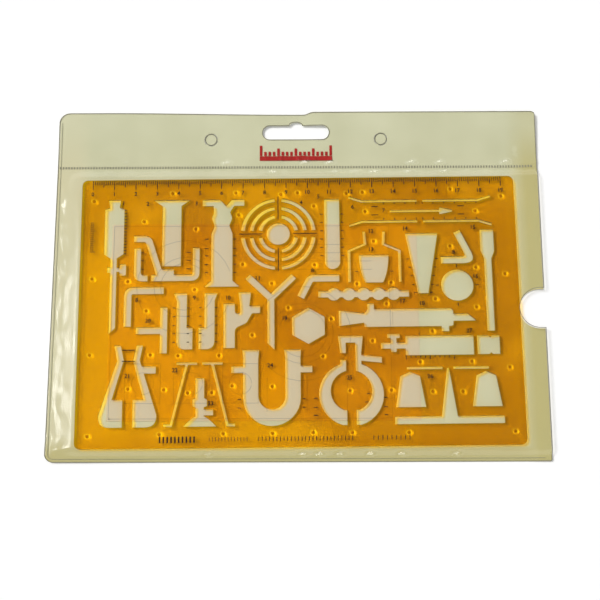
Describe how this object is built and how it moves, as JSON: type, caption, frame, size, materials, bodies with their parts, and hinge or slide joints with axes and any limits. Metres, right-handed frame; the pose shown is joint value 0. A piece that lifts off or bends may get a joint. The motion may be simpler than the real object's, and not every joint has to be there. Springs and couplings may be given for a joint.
{
  "type": "drawing stencil",
  "caption": "Translucent plastic stencil with laboratory apparatus cut-outs and a ruler edge, which slides out of a clear-fronted hanging pouch with a folded leaflet.",
  "frame": {"origin": "under the middle of the pouch, on the surface that its back lies on", "axes": "+X towards the pouch's open mouth, +Y towards its header, +Z out of the clear front"},
  "size_m": [0.225, 0.1656, 0.0028],
  "materials": {
    "plate": "clear moulded orange plastic",
    "back_sheet": "smooth cream PVC sheet",
    "front_film": "clear PVC film, yellowed",
    "paper": "aged uncoated paper"
  },
  "bodies": {
    "pouch": {"pouch_back_sheet": "back_sheet", "pouch_front_film": "front_film"},
    "stencil": {"stencil_plate": "plate"},
    "leaflet": {"leaflet": "paper"}
  },
  "joints": [
    {"name": "stencil_slide", "type": "slide", "parent": "pouch", "child": "stencil", "axis": [1, 0, 0], "range_m": [0, 0.215]},
    {"name": "leaflet_slide", "type": "slide", "parent": "pouch", "child": "leaflet", "axis": [1, 0, 0], "range_m": [0, 0.2]}
  ]
}
